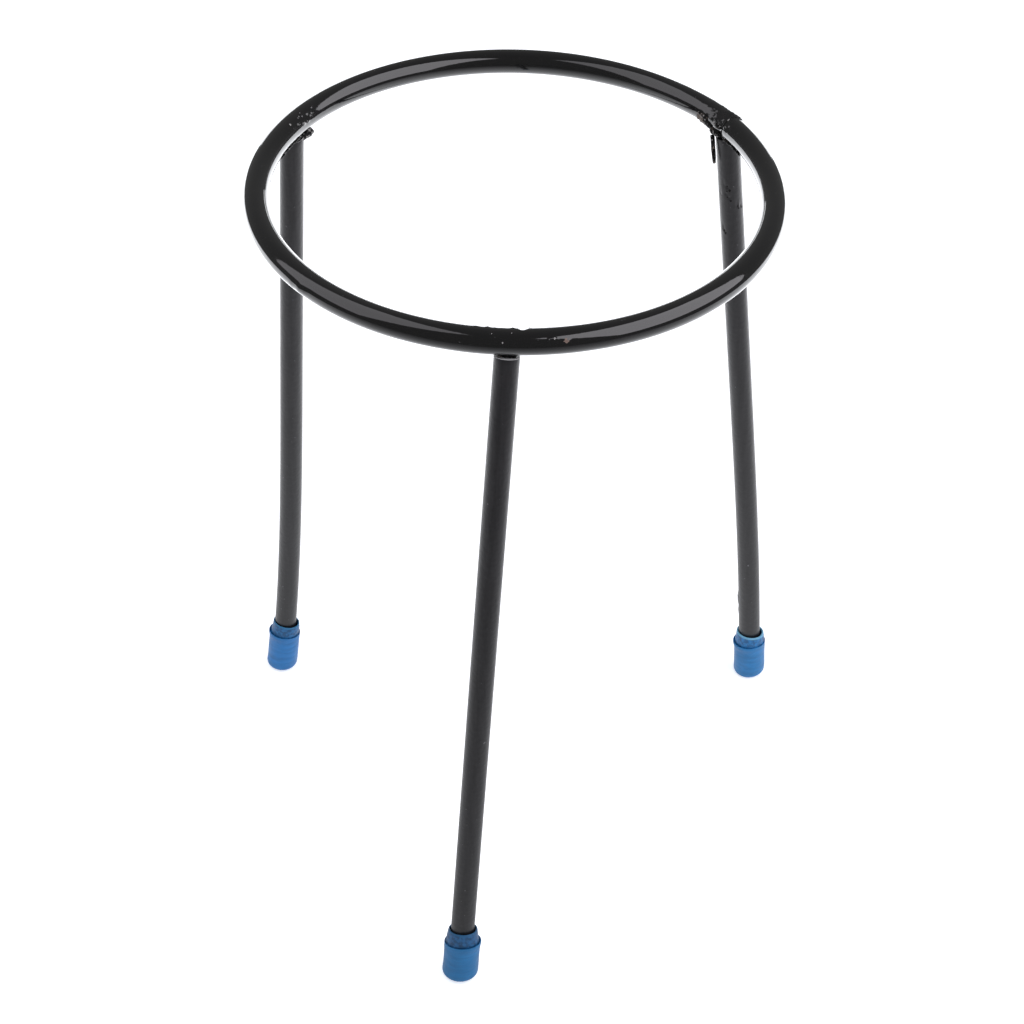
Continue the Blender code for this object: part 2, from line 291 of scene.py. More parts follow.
# Where the enamel is lumpy: ring angle and half the span round the ring, rod angle and
# half the span round the rod, then the depth and the grain of the lumps in millimetres.
LUMPY_ENAMEL = (
    (34.0, 7.5, 145.0, 95.0, 0.14, 0.5),
    (152.0, 7.0, 145.0, 70.0, 0.04, 0.4),
    (267.0, 7.0, 80.0, 50.0, 0.05, 0.5),
)
weights = [{} for _ in LUMPY_ENAMEL]
for vertex in ring.data.vertices:
    arm = vertex.co - ring_middle
    angle = ring_angle_at(vertex.co)
    outward = Vector((arm.x, arm.y, 0.0)).normalized()
    across = (arm - outward * RING_RADIUS).normalized()
    rod_angle = math.degrees(math.atan2(across.z, across.dot(outward))) % 360
    turned = (angle - SEAM_ANGLE + JUST_BEFORE_SEAM) % 360
    step_out = SEAM_STEP * max(0.0, 1 - turned / SEAM_STEP_ANGLE) ** 2
    if turned < SEAM_ROUNDING_ANGLE:
        step_out *= math.sqrt(1 - (1 - turned / SEAM_ROUNDING_ANGLE) ** 2)
    vertex.co = ring_middle + outward * (RING_RADIUS + step_out) + across * ROD_RADIUS
    for (middle, half, rod_middle, rod_half, *_), lumpy in zip(LUMPY_ENAMEL, weights):
        rough = bump_weight(angle, middle, half) * bump_weight(rod_angle, rod_middle, rod_half)
        if rough > 0:
            lumpy[vertex.index] = rough
for (*_, depth, grain), lumpy in zip(LUMPY_ENAMEL, weights):
    roughen(ring, depth * MM, grain * MM, lumpy)

# Ring angle, rod angle, how far out in millimetres, and how wide.
ENAMEL_MARKS = (
    (147.1, 120, 0.13, 0.35), (148.0, 145, 0.14, 0.35), (149.0, 150, 0.13, 0.40),
    (149.6, 132, 0.15, 0.45), (151.4, 110, 0.10, 0.30), (151.5, 125, 0.12, 0.40),
    (152.6, 120, 0.13, 0.45), (154.2, 145, 0.16, 0.50), (152.5, 160, 0.20, 0.55),
    (156.6, 120, 0.11, 0.40), (156.2, 145, 0.11, 0.40), (150.6, 165, 0.16, 0.45),
    (262.6, 112, 0.07, 0.80), (264.9, 115, 0.10, 0.60), (266.3, 105, 0.05, 0.60),
    (270.1, 112, 0.12, 0.50), (272.4, 108, -0.35, 0.80), (272.6, 124, -0.60, 1.00),
    (272.8, 140, -0.60, 1.00), (272.6, 154, -0.35, 0.90), (273.8, 116, 0.14, 0.35),
    (265.9, 65, 0.08, 0.35), (270.0, 72, 0.12, 0.35), (268.2, 28, 0.12, 0.35),
    (267.7, 48, 0.06, 0.30), (267.1, 50, 0.06, 0.30), (268.8, 52, 0.06, 0.30),
    (277.5, 42, 0.07, 0.30), (278.4, 45, 0.07, 0.30), (279.1, 42, 0.07, 0.30),
    (277.2, 20, 0.07, 0.35), (280.9, 33, 0.12, 0.50),
    (222.0, 0, 0.28, 1.60), (219.5, 350, 0.12, 1.20),
    (32.4, 62, 0.10, 0.50), (34.0, 150, 0.16, 0.50), (36.0, 165, 0.20, 0.60),
    (38.5, 172, 0.16, 0.60), (32.6, 165, 0.18, 0.50), (33.2, 112, 0.10, 0.45),
    (35.1, 118, -0.10, 0.45), (31.9, 130, -0.12, 0.45), (30.0, 150, 0.12, 0.40),
    (28.9, 135, 0.10, 0.40), (32.3, 140, 0.12, 0.40),
)
for ring_angle, rod_angle, out, width in ENAMEL_MARKS:
    start = on_ring(ring_angle, rod_angle)
    move = (on_ring(ring_angle, rod_angle, MM) - start) * out
    pull(ring, start, move, width * MM)

# Between these lie nearly all values of a noise.
NOISE_LOW, NOISE_HIGH = 0.3, 0.7
SPECK_EDGE = 0.03
PATCH_RAGGEDNESS = 2200.0
PATCH_SPREAD = (0.3, 1.5)
PATCH_EDGE = (0.9, 1.2)


def specks_group():
    """Small ragged spots all over a surface, sized and thinned out by its inputs."""
    group = bpy.data.node_groups.new("specks", "ShaderNodeTree")
    group.interface.new_socket("Scale", in_out="INPUT", socket_type="NodeSocketFloat")
    group.interface.new_socket("Rarity", in_out="INPUT", socket_type="NodeSocketFloat")
    group.interface.new_socket("Mask", in_out="OUTPUT", socket_type="NodeSocketFloat")
    given = joined(group, "NodeGroupInput")
    where = joined(group, "ShaderNodeTexCoord")
    spots = noise(group, where.outputs["Object"], given.outputs["Scale"], detail=3.0)
    full = joined(group, "ShaderNodeMath", {0: given.outputs["Rarity"], 1: SPECK_EDGE},
                  operation="ADD")
    mask = ranged(group, spots, given.outputs["Rarity"], full.outputs[0])
    joined(group, "NodeGroupOutput", {"Mask": mask})
    return group


def patch_group():
    """A ragged patch round one place on a piece."""
    group = bpy.data.node_groups.new("patch", "ShaderNodeTree")
    group.interface.new_socket("Place", in_out="INPUT", socket_type="NodeSocketVector")
    group.interface.new_socket("Reach", in_out="INPUT", socket_type="NodeSocketFloat")
    group.interface.new_socket("Mask", in_out="OUTPUT", socket_type="NodeSocketFloat")
    given = joined(group, "NodeGroupInput")
    where = joined(group, "ShaderNodeTexCoord")
    away = joined(group, "ShaderNodeVectorMath", {
        0: where.outputs["Object"], 1: given.outputs["Place"]}, operation="DISTANCE")
    ragged = noise(group, where.outputs["Object"], PATCH_RAGGEDNESS)
    spread = ranged(group, ragged, NOISE_LOW, NOISE_HIGH, *PATCH_SPREAD)
    edge = joined(group, "ShaderNodeMath", {0: given.outputs["Reach"], 1: spread},
                  operation="MULTIPLY")
    inside = joined(group, "ShaderNodeMath", {0: edge.outputs[0], 1: away.outputs["Value"]},
                    operation="DIVIDE")
    mask = ranged(group, inside.outputs[0], *PATCH_EDGE)
    joined(group, "NodeGroupOutput", {"Mask": mask})
    return group


def grain_group():
    """Fine ripples and pits in a painted or moulded surface, as a normal."""
    group = bpy.data.node_groups.new("grain", "ShaderNodeTree")
    group.interface.new_socket("Scale", in_out="INPUT", socket_type="NodeSocketFloat")
    group.interface.new_socket("Depth", in_out="INPUT", socket_type="NodeSocketFloat")
    group.interface.new_socket("Normal", in_out="OUTPUT", socket_type="NodeSocketVector")
    given = joined(group, "NodeGroupInput")
    where = joined(group, "ShaderNodeTexCoord")
    ripple = noise(group, where.outputs["Object"], given.outputs["Scale"])
    bump = joined(group, "ShaderNodeBump", {
        "Strength": 1.0, "Distance": given.outputs["Depth"], "Height": ripple})
    joined(group, "NodeGroupOutput", {"Normal": bump.outputs[0]})
    return group


SPECKS, PATCH, GRAIN = specks_group(), patch_group(), grain_group()


def finish_material(name, colour, roughness, **settings):
    """A plain surface of one colour, ready for its detail."""
    material = bpy.data.materials.new(name)
    material.use_nodes = True
    surface = material.node_tree.nodes["Principled BSDF"]
    surface.inputs["Base Color"].default_value = (*colour, 1.0)
    surface.inputs["Roughness"].default_value = roughness
    for socket, value in settings.items():
        surface.inputs[socket.replace("_", " ")].default_value = value
    return material, material.node_tree, surface


def placed(tree, group, **values):
    """One of the shared effects, placed in a material with its own values."""
    node = joined(tree, "ShaderNodeGroup", node_tree=group)
    for socket, value in values.items():
        node.inputs[socket].default_value = value
    return node


def mixed(tree, mask, under, over):
    """The colour over shows where the mask is 1."""
    mix = joined(tree, "ShaderNodeMix", data_type="RGBA")
    for socket, value in ((0, mask), (6, under), (7, over)):
        if isinstance(value, bpy.types.NodeSocket):
            tree.links.new(value, mix.inputs[socket])
        else:
            mix.inputs[socket].default_value = value if socket == 0 else (*value, 1.0)
    return mix.outputs[2]


def most(tree, *masks):
    """The largest of some masks."""
    total = masks[0]
    for mask in masks[1:]:
        total = joined(tree, "ShaderNodeMath", {0: total, 1: mask}, operation="MAXIMUM").outputs[0]
    return total


ENAMEL = (0.0065, 0.0065, 0.0068)
ENAMEL_DUST = (0.05, 0.05, 0.052)
GLINT_GREY = (0.30, 0.29, 0.29)
BARE_BROWN = (0.20, 0.14, 0.12)
ENAMEL_ROUGHNESS, BARE_ROUGHNESS = 0.07, 0.75
enamel, tree, surface = finish_material("black_enamel", ENAMEL, ENAMEL_ROUGHNESS,
                                        Coat_Weight=1.0, Coat_Roughness=0.03, Coat_IOR=1.55)
dust = placed(tree, SPECKS, Scale=1500.0, Rarity=0.73)
# Ring angle, rod angle and reach in millimetres of the pale crumbs on the spatter lumps of the
# enamel: painted glints.
GLINT_CRUMBS = ((147.1, 120, 0.16), (148.0, 145, 0.14), (149.0, 150, 0.12), (149.6, 132, 0.12),
          (151.4, 110, 0.12), (152.6, 120, 0.14), (156.6, 120, 0.20), (152.5, 160, 0.30),
          (270.0, 72, 0.16), (268.2, 28, 0.18), (265.9, 65, 0.14), (277.5, 42, 0.16),
          (278.6, 45, 0.18), (34.4, 172, 0.40), (32.6, 170, 0.34), (31.0, 172, 0.22))
glint_crumbs = [placed(tree, PATCH, Place=on_ring(ring_angle, rod_angle), Reach=reach * MM)
          for ring_angle, rod_angle, reach in GLINT_CRUMBS]
painted_glints = most(tree, *[node.outputs[0] for node in glint_crumbs])
chip = placed(tree, PATCH, Place=on_ring(280.9, 31), Reach=0.45 * MM)
colour = mixed(tree, dust.outputs[0], ENAMEL, ENAMEL_DUST)
# The pale crumbs are painted glints, grey on the black enamel.
colour = mixed(tree, painted_glints, colour, GLINT_GREY)
colour = mixed(tree, chip.outputs[0], colour, BARE_BROWN)
tree.links.new(colour, surface.inputs["Base Color"])
# Ring angle, rod angle and reach in millimetres of the sooty patches round the seam.
SOOTY_PATCHES = ((31.6, 95, 1.7), (33.4, 130, 1.5), (30.2, 60, 1.2), (30.6, 15, 1.3))
sooty = [placed(tree, PATCH, Place=on_ring(ring_angle, rod_angle), Reach=reach * MM)
         for ring_angle, rod_angle, reach in SOOTY_PATCHES]
dull_spots = most(tree, painted_glints, chip.outputs[0], *[node.outputs[0] for node in sooty])
dull = ranged(tree, dull_spots, 0.0, 1.0, ENAMEL_ROUGHNESS, BARE_ROUGHNESS)
tree.links.new(dull, surface.inputs["Roughness"])
glazed = ranged(tree, dull_spots, 0.0, 1.0, 1.0, 0.0)
tree.links.new(glazed, surface.inputs["Coat Weight"])
peel = placed(tree, GRAIN, Scale=420.0, Depth=0.00003)
tree.links.new(peel.outputs[0], surface.inputs["Normal"])
ring.data.materials.append(enamel)


def shown(piece, node, crease=50):
    """The piece is smooth up to a crease, rides on the stand and stands for a CAD node."""
    bpy.ops.object.select_all(action="DESELECT")
    bpy.context.view_layer.objects.active = piece
    piece.select_set(True)
    bpy.ops.object.shade_smooth_by_angle(angle=math.radians(crease))
    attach(piece, "root")
    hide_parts(node)


shown(ring, "ring", crease=80)

# The ends of the ring's rod are joined by a thin, uneven run of weld metal, which was
# ground a little and painted over, so that only its lumps show.
SEAM_BEAD_REACH = 0.00234
SEAM_BEAD_RADIUS = 0.00022
bpy.ops.object.select_all(action="DESELECT")
seam_turn = (Matrix.Rotation(math.radians(SEAM_ANGLE), 4, "Z")
             @ Matrix.Rotation(math.pi / 2, 4, "X"))
seam_place = (on_ring(SEAM_ANGLE, 0) + on_ring(SEAM_ANGLE, 180)) / 2
bpy.ops.mesh.primitive_torus_add(
    align="WORLD", location=seam_place, rotation=seam_turn.to_euler(),
    major_segments=120, minor_segments=14, major_radius=SEAM_BEAD_REACH,
    minor_radius=SEAM_BEAD_RADIUS)
seam_bead = bpy.context.object
seam_bead.name = "ring_seam_bead"
bpy.ops.object.transform_apply(location=True, rotation=True)
roughen(seam_bead, 0.14 * MM, 0.7 * MM)

WELD_BLACK = (0.005, 0.005, 0.005)
WELD_RUST = (0.055, 0.045, 0.040)
WELD_BROWN = (0.17, 0.145, 0.130)
WELD_ROUGHNESS = (0.45, 0.65)


def weld_material(name, glint_rarity, rust_rarity):
    """Painted weld metal, with a little rust showing through and grey crumbs painted on as glints.
    """
    material, tree, surface = finish_material(name, WELD_BLACK, 0.5, Specular_IOR_Level=0.14)
    grey_glints = placed(tree, SPECKS, Scale=1300.0, Rarity=glint_rarity)
    rust = placed(tree, SPECKS, Scale=700.0, Rarity=rust_rarity)
    scale = placed(tree, PATCH, Place=on_ring(38.9, 197), Reach=1.35 * MM)
    colour = mixed(tree, rust.outputs[0], WELD_BLACK, WELD_RUST)
    colour = mixed(tree, scale.outputs[0], colour, WELD_BROWN)
    # The grey crumbs are painted glints on the weld metal.
    colour = mixed(tree, grey_glints.outputs[0], colour, GLINT_GREY)
    tree.links.new(colour, surface.inputs["Base Color"])
    dull_spots = most(tree, grey_glints.outputs[0], rust.outputs[0])
    dull = ranged(tree, dull_spots, 0.0, 1.0, *WELD_ROUGHNESS)
    tree.links.new(dull, surface.inputs["Roughness"])
    pits = placed(tree, GRAIN, Scale=2600.0, Depth=0.00006)
    tree.links.new(pits.outputs[0], surface.inputs["Normal"])
    return material


weld_paint = weld_material("painted_weld", glint_rarity=0.62, rust_rarity=0.62)
spattered_paint = weld_material("spattered_weld", glint_rarity=0.555, rust_rarity=0.64)
seam_bead.data.materials.append(weld_paint)
shown(seam_bead, "ring_seam_weld")

# The legs are three straight round rods under satin black paint, cut square and butted
# under the ring. The rear ones bend a little near the floor, and the right one has
# lumps, pits and nicks in its paint.
UP = Vector((0.0, 0.0, 1.0))
LEG_RADIUS = 0.0024
LEG_SIDES = 64
LEG_CUTS = 179
LEG_SHORT_OF_SOLE = 0.0021
RIM_BEVEL = 0.00018
BEND_START = 0.45
HEAD_END = 0.99
FOOT_SHARE = 0.91
AHEAD_SHARE = 0.01
# The middle of each leg's head and of its cap's sole, and how far its toe is bent.
LEGS = {
    "front": (Vector((-0.0032, -0.0422, 0.1468)), Vector((-0.0103, -0.0557, -0.0001)),
              (0.0, 0.0)),
    "rear_left": (Vector((-0.0468, 0.0300, 0.1473)), Vector((-0.05375, 0.0393, -0.0001)),
                  (-0.00195, -0.0023)),
    "rear_right": (Vector((0.0396, 0.0341, 0.1474)), Vector((0.0541, 0.0406, -0.0001)),
                   (-0.0015, 0.0)),
}
# How much the cut at a leg's head falls towards the back.
CUT_SLOPES = {"front": 0.28, "rear_left": 0.0, "rear_right": 0.0}


def leg_point(leg, share):
    """Point of a leg's middle line, a share of the way from its head to its sole."""
    head, sole, toe_bend = LEGS[leg]
    toe_bend = Vector((*toe_bend, 0.0))
    bend = max(0.0, (share - BEND_START) / (1 - BEND_START))
    return head.lerp(sole - toe_bend, share) + toe_bend * bend ** 3


def foot_axis(leg):
    """Direction of a leg where its foot cap is, upwards."""
    return (leg_point(leg, FOOT_SHARE) - leg_point(leg, 1.0)).normalized()


def make_leg(leg):
    """A round bar, cut into short lengths and bent along the leg's middle line."""
    length = (LEGS[leg][0] - LEGS[leg][1]).length
    reach = 1 - LEG_SHORT_OF_SOLE / length
    bpy.ops.object.select_all(action="DESELECT")
    bpy.ops.mesh.primitive_cylinder_add(vertices=LEG_SIDES, radius=LEG_RADIUS, depth=1.0,
                                        location=(0.0, 0.0, 0.5), end_fill_type="NGON")
    bar = bpy.context.object
    bar.name = f"leg_{leg}_painted"
    bpy.ops.object.transform_apply(location=True)
    bpy.ops.object.mode_set(mode="EDIT")
    bpy.ops.mesh.select_mode(type="EDGE")
    bpy.ops.mesh.select_all(action="DESELECT")
    bpy.ops.object.mode_set(mode="OBJECT")
    for edge in bar.data.edges:
        first, second = [bar.data.vertices[index].co for index in edge.vertices]
        edge.select = abs(first.z - second.z) > 0.5
    bpy.ops.object.mode_set(mode="EDIT")
    bpy.ops.mesh.subdivide(number_cuts=LEG_CUTS)
    bpy.ops.object.mode_set(mode="OBJECT")
    for vertex in bar.data.vertices:
        if vertex.co.z > HEAD_END:
            vertex.co.z -= CUT_SLOPES[leg] * vertex.co.y / length
        share = reach * (1 - vertex.co.z)
        ahead = (leg_point(leg, share) - leg_point(leg, share + AHEAD_SHARE)).normalized()
        turn = UP.rotation_difference(ahead)
        vertex.co = leg_point(leg, share) + turn @ Vector((vertex.co.x, vertex.co.y, 0.0))
    deselect(bar)
    for face in bar.data.polygons:
        face.select = len(face.vertices) > 4
    bpy.ops.object.mode_set(mode="EDIT")
    bpy.ops.mesh.bevel(offset=RIM_BEVEL, segments=3, affect="EDGES")
    bpy.ops.object.mode_set(mode="OBJECT")
    return bar


PAINT_BLACK = (0.012, 0.012, 0.013)
# The paint's colours near the floor and near the ring, each a pair for its streaks: darker towards
# the floor and lighter towards the ring, as painted shade and light.
PAINT_SHADED_LOW = ((0.0095, 0.0095, 0.0108), (0.0170, 0.0165, 0.0185))
PAINT_LIT_HIGH = ((0.0145, 0.0140, 0.0160), (0.0250, 0.0240, 0.0270))
PAINTED_LIGHT_HEIGHTS = (0.02, 0.14)
PAINT_ROUGHNESS = (0.31, 0.37)
PAINT_DUST = (0.11, 0.11, 0.12)
NICK_SHADE_BLACK = (0.001, 0.001, 0.001)
CUT_END_SHADE_BLACK = (0.006, 0.006, 0.006)
CUT_END_DUST = (0.10, 0.10, 0.10)
RIM_HIGHLIGHT_GREY = (0.42, 0.42, 0.43)
RIM_DARK_SPECK = (0.08, 0.08, 0.08)
satin, tree, surface = finish_material("satin_black_paint", PAINT_BLACK, 0.34,
                                       Specular_IOR_Level=0.50)
where = joined(tree, "ShaderNodeTexCoord")
stretched = joined(tree, "ShaderNodeMapping", {"Vector": where.outputs["Object"],
                                              "Scale": (1.0, 1.0, 0.04)})
brushed = noise(tree, stretched.outputs[0], 1400.0, detail=3.0)
shade = ranged(tree, brushed, NOISE_LOW, NOISE_HIGH)
low = mixed(tree, shade, *PAINT_SHADED_LOW)
high = mixed(tree, shade, *PAINT_LIT_HIGH)
parts = joined(tree, "ShaderNodeSeparateXYZ", {0: where.outputs["Object"]})
# Painted shade and light: the leg darkens towards the floor and lightens towards the ring.
colour = mixed(tree, ranged(tree, parts.outputs["Z"], *PAINTED_LIGHT_HEIGHTS), low, high)
dust = placed(tree, SPECKS, Scale=1100.0, Rarity=0.72)
colour = mixed(tree, dust.outputs[0], colour, PAINT_DUST)
# Places and reaches of the nicks on the right leg, in millimetres from the ring's middle, painted
# black as painted shade in their pits.
NICKS = ((42.6, 25.0, -13.4, 0.18), (43.1, 24.9, -14.4, 0.25), (42.6, 25.1, -14.6, 0.18),
         (42.8, 25.1, -16.1, 0.14), (43.5, 25.0, -16.9, 0.20), (41.7, 25.8, -16.0, 0.14),
         (45.1, 25.5, -18.5, 0.16), (45.3, 25.6, -18.9, 0.18), (45.9, 26.4, -19.1, 0.22),
         (42.8, 26.1, -24.7, 0.25), (43.0, 25.9, -25.1, 0.28))
nicks = [placed(tree, PATCH, Place=ring_middle + Vector(place) * MM, Reach=reach * MM)
         for *place, reach in NICKS]
shaded_nicks = most(tree, *[node.outputs[0] for node in nicks])
# The nicks' pits are painted black: painted shade.
colour = mixed(tree, shaded_nicks, colour, NICK_SHADE_BLACK)
tree.links.new(colour, surface.inputs["Base Color"])
rub = noise(tree, where.outputs["Object"], 160.0)
gloss = most(tree, ranged(tree, rub, NOISE_LOW, NOISE_HIGH, *PAINT_ROUGHNESS), shaded_nicks)
tree.links.new(gloss, surface.inputs["Roughness"])
orange_peel = placed(tree, GRAIN, Scale=1100.0, Depth=0.00006)
tree.links.new(orange_peel.outputs[0], surface.inputs["Normal"])

# The leg's cut end is painted near black as painted shade under the ring, with a little dust.
cut_end_shade, tree, surface = finish_material("cut_end_painted_shade", CUT_END_SHADE_BLACK, 0.7, Specular_IOR_Level=0.2)
dust = placed(tree, SPECKS, Scale=1500.0, Rarity=0.70)
colour = mixed(tree, dust.outputs[0], CUT_END_SHADE_BLACK, CUT_END_DUST)
tree.links.new(colour, surface.inputs["Base Color"])
# The rim of the leg's cut end is painted grey as a painted highlight, broken by dark specks.
leg_rim_highlight, tree, surface = finish_material("leg_rim_highlight", RIM_HIGHLIGHT_GREY, 0.5)
rim_dark_specks = placed(tree, SPECKS, Scale=1100.0, Rarity=0.68)
colour = mixed(tree, rim_dark_specks.outputs[0], RIM_HIGHLIGHT_GREY, RIM_DARK_SPECK)
tree.links.new(colour, surface.inputs["Base Color"])

# How far down the leg, the direction it faces in degrees, how far out and how wide.
LEG_MARKS = {
    "front": ((0.33, -60, 0.05, 0.6), (0.55, -120, 0.05, 0.6)),
    "rear_left": ((0.30, -80, 0.05, 0.5), (0.72, -150, 0.06, 0.6)),
    "rear_right": ((0.071, -123, -0.12, 0.5), (0.076, -105, -0.14, 0.5), (0.087, -114, -0.12, 0.5),
                   (0.093, -99, -0.12, 0.5), (0.088, -147, -0.12, 0.5), (0.105, -60, -0.15, 0.6),
                   (0.108, -39, -0.15, 0.6), (0.147, -138, -0.18, 0.6), (0.70, -5, -0.25, 0.6),
                   (0.838, 178, 0.22, 0.9), (0.855, 178, 0.20, 0.9), (0.868, 178, 0.12, 0.7)),
}
NICKED_REACH = 0.0006
NICK_CUTS = 4
# The cut end and its rim lie this deep under a leg's highest point, and the end faces up.
RIM_DEPTH = 0.00021
FACING_UP = 0.95


def nick_distance(place):
    """From a place to the nearest edge of a nick, less than 0 inside it."""
    return min((place - ring_middle - Vector(nick) * MM).length - reach * MM
               for *nick, reach in NICKS)


def level_direction(degrees):
    """The level direction at an angle round the upright."""
    turn = math.radians(degrees)
    return Vector((math.cos(turn), math.sin(turn), 0.0))


for leg in LEGS:
    bar = make_leg(leg)
    if leg == "rear_right":
        deselect(bar)
        for face in bar.data.polygons:
            face.select = nick_distance(face.center) < NICKED_REACH
        bpy.ops.object.mode_set(mode="EDIT")
        bpy.ops.mesh.subdivide(number_cuts=NICK_CUTS)
        bpy.ops.object.mode_set(mode="OBJECT")
    for share, facing, out, width in LEG_MARKS[leg]:
        outward = level_direction(facing)
        pull(bar, leg_point(leg, share) + outward * LEG_RADIUS, outward * out * MM, width * MM)
    for paint in (satin, cut_end_shade, leg_rim_highlight):
        bar.data.materials.append(paint)
    head = LEGS[leg][0]
    # The cut end under the ring gets the painted shade and its rim the painted highlight. The
    # right leg's nick pits get the painted shade as well.
    for face in bar.data.polygons:
        below = head.z - CUT_SLOPES[leg] * (face.center.y - head.y) - face.center.z
        if below < RIM_DEPTH:
            face.material_index = 2 if face.normal.z < FACING_UP else 1
        elif leg == "rear_right" and nick_distance(face.center) < 0:
            face.material_index = 1
    shown(bar, f"leg_{leg}")

# Each leg is held to the ring by weld metal, painted over with the rest. The left rear
# weld has a nub beside it, the right rear one a rough ridge up the inside of the ring
# and a thin sliver that hangs beside the leg.

# A row is a lump: ring angle, millimetres out and up from the rod's middle, and its
# three half sizes outwards, round the ring and upwards.
WELD_LUMPS = {
    "front": (
        (-90.9, 0.0, -2.65, 1.60, 1.75, 0.70),
        (-92.4, 0.9, -2.45, 0.6, 0.5, 0.35),
        (-89.4, 1.0, -2.45, 0.6, 0.5, 0.35),
    ),
    "rear_left": (
        (153.8, 0.1, -2.50, 1.5, 1.9, 0.4),
        (149.7, -1.50, -2.88, 0.86, 1.90, 0.80),
        (148.6, -1.55, -2.72, 0.78, 0.75, 0.76),
        (151.6, -1.30, -2.95, 0.80, 0.90, 0.70),
        (155.5, -2.17, -1.50, 0.27, 2.10, 0.27),
        (159.5, -2.27, -1.32, 0.27, 2.10, 0.27),
        (163.3, -2.37, -1.15, 0.26, 1.90, 0.26),
    ),
    "rear_right": (
        (31.2, 0.1, -2.50, 1.5, 1.8, 0.4),
        (33.8, -1.25, -1.90, 1.15, 1.60, 0.75),
        (33.0, -1.60, -1.90, 0.80, 1.00, 0.70),
        (35.0, -1.60, -2.00, 0.70, 0.90, 0.80),
        (36.2, -2.10, -0.90, 0.50, 1.10, 0.80),
        (37.9, -2.25, 0.20, 0.45, 1.30, 0.55),
        (39.4, -2.25, 0.40, 0.34, 0.80, 0.36),
        (32.6, -2.15, 0.20, 0.45, 1.20, 0.45),
        (36.6, -2.32, -0.70, 0.38, 0.90, 0.60),
        (38.2, -2.32, -0.50, 0.36, 0.90, 0.60),
        (39.7, -2.32, -0.40, 0.32, 0.60, 0.50),
        (34.0, -1.72, -1.52, 0.42, 1.00, 0.50),
        (35.8, -1.75, -1.50, 0.42, 1.00, 0.48),
        (37.6, -1.80, -1.42, 0.42, 1.00, 0.45),
        (39.0, -1.92, -1.22, 0.40, 0.70, 0.42),
        (40.2, -2.02, -1.05, 0.32, 0.40, 0.34),
        (28.4, -2.09, -1.66, 0.27, 2.00, 0.27),
        (25.2, -2.19, -1.54, 0.27, 2.00, 0.27),
        (22.6, -2.27, -1.42, 0.26, 1.20, 0.26),
    ),
}


def make_lump(ring_angle, out, up, half_out, half_round, half_up):
    """A ball of weld metal, stretched along the ring's own directions."""
    outward = level_direction(ring_angle)
    middle = ring_middle + outward * (RING_RADIUS + out * MM) + UP * up * MM
    stretch = Matrix((outward * half_out, UP.cross(outward) * half_round, UP * half_up))
    bpy.ops.object.select_all(action="DESELECT")
    bpy.ops.mesh.primitive_ico_sphere_add(subdivisions=4, radius=MM)
    lump = bpy.context.object
    lump.data.transform(Matrix.Translation(middle) @ stretch.transposed().to_4x4())
    return lump


SLIVER_ANGLE = 33.2
SLIVER_IN, SLIVER_DOWN = 0.00250, 0.00530
SLIVER_LEAN = 0.22
SLIVER_LENGTH = 0.0060
SLIVER_RADIUS = 0.00042
SLIVER_BEVEL = 0.00014
SLIVER_TAPER = 0.3
SLIVER_TIP = 0.55
FACING_FRONT = -0.86
SLIVER_HIGHLIGHT_BROWN = (0.20, 0.17, 0.15)
EDGE_BLACK = (0.02, 0.02, 0.02)
# The sliver's side that faces the front is painted light brown as a painted highlight, with black
# specks.
sliver_front_highlight, tree, surface = finish_material("sliver_front_highlight", SLIVER_HIGHLIGHT_BROWN, 0.7, Specular_IOR_Level=0.2)
rust = placed(tree, SPECKS, Scale=1500.0, Rarity=0.50)
colour = mixed(tree, rust.outputs[0], SLIVER_HIGHLIGHT_BROWN, EDGE_BLACK)
tree.links.new(colour, surface.inputs["Base Color"])


def clamped(value):
    """The value, kept between 0 and 1."""
    return min(1.0, max(0.0, value))


def hang_sliver(weld):
    """A thin straight run of weld metal, joined to the weld at its upper end."""
    outward = level_direction(SLIVER_ANGLE)
    middle = ring_middle + outward * (RING_RADIUS - SLIVER_IN) - UP * SLIVER_DOWN
    rise = (UP + UP.cross(outward) * SLIVER_LEAN).normalized()
    bpy.ops.object.select_all(action="DESELECT")
    bpy.ops.mesh.primitive_cylinder_add(vertices=24, radius=SLIVER_RADIUS, depth=SLIVER_LENGTH,
                                        end_fill_type="NGON")
    sliver = bpy.context.object
    bpy.ops.object.mode_set(mode="EDIT")
    bpy.ops.mesh.bevel(offset=SLIVER_BEVEL, segments=3, affect="EDGES")
    bpy.ops.mesh.select_all(action="SELECT")
    bpy.ops.mesh.subdivide(number_cuts=5)
    bpy.ops.object.mode_set(mode="OBJECT")
    for vertex in sliver.data.vertices:
        above_tip = (vertex.co.z / SLIVER_LENGTH + 0.5) / SLIVER_TAPER
        slim = SLIVER_TIP + (1 - SLIVER_TIP) * math.sqrt(clamped(above_tip))
        vertex.co.x *= slim
        vertex.co.y *= slim
    sliver.data.transform(Matrix.Translation(middle)
                          @ UP.rotation_difference(rise).to_matrix().to_4x4())
    sliver.data.materials.append(weld_paint)
    sliver.data.materials.append(sliver_front_highlight)
    # Faces turned to the front get the painted highlight.
    for face in sliver.data.polygons:
        face.material_index = 1 if face.normal.y < FACING_FRONT else 0
    roughen(sliver, 0.16 * MM, 0.6 * MM)
    bpy.ops.object.select_all(action="DESELECT")
    sliver.select_set(True)
    weld.select_set(True)
    bpy.context.view_layer.objects.active = weld
    bpy.ops.object.join()


